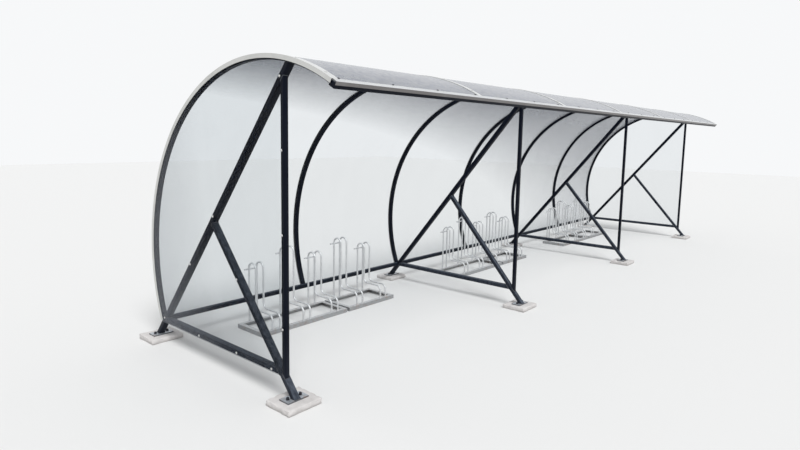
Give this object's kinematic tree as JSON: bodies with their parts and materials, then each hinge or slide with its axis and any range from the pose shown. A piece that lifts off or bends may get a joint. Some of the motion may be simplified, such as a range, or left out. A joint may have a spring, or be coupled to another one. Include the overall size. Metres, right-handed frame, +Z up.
{
  "type": "bicycle shelter",
  "caption": "Long open-fronted bicycle shelter: dark steel frames, a curved clear roof down the back, clear ends, and galvanised wheel stands on the ground.",
  "frame": {"origin": "on the ground under the middle of the whole shelter", "axes": "+X along the row of frames, -Y out of the open front, +Y to the curved back, +Z up"},
  "size_m": [9.28, 2.3648, 2.2845],
  "materials": {
    "frame_paint": "satin",
    "clear_sheet": "clear glossy plastic sheet with a light grey haze",
    "bright_trim": "satin",
    "galvanised": "dull zinc",
    "base_steel": "zinc coated",
    "concrete": "rough concrete"
  },
  "bodies": {
    "root": {"arch_1": "frame_paint", "diagonal_1": "frame_paint", "strut_1": "frame_paint", "post_1": "frame_paint", "bottom_rail_1": "frame_paint", "arch_2": "frame_paint", "diagonal_2": "frame_paint", "strut_2": "frame_paint", "post_2": "frame_paint", "bottom_rail_2": "frame_paint", "arch_3": "frame_paint", "diagonal_3": "frame_paint", "strut_3": "frame_paint", "post_3": "frame_paint", "bottom_rail_3": "frame_paint", "arch_4": "frame_paint", "diagonal_4": "frame_paint", "strut_4": "frame_paint", "post_4": "frame_paint", "bottom_rail_4": "frame_paint", "mid_arch_1": "frame_paint", "rear_rail_1": "frame_paint", "mid_arch_2": "frame_paint", "rear_rail_2": "frame_paint", "mid_arch_3": "frame_paint", "rear_rail_3": "frame_paint", "eave_beam": "frame_paint", "roof_sheet_1": "clear_sheet", "roof_sheet_2": "clear_sheet", "roof_sheet_3": "clear_sheet", "roof_sheet_4": "clear_sheet", "roof_sheet_5": "clear_sheet", "roof_sheet_6": "clear_sheet", "end_panel_1": "clear_sheet", "end_panel_2": "clear_sheet", "eave_trim": "bright_trim", "cover_strips": "bright_trim", "end_trims": "bright_trim", "stand_frame_1": "galvanised", "stand_hoops_1": "galvanised", "stand_frame_2": "galvanised", "stand_hoops_2": "galvanised", "stand_frame_3": "galvanised", "stand_hoops_3": "galvanised", "lock_bars": "galvanised", "base_plates": "base_steel", "footings": "concrete"}
  },
  "joints": []
}
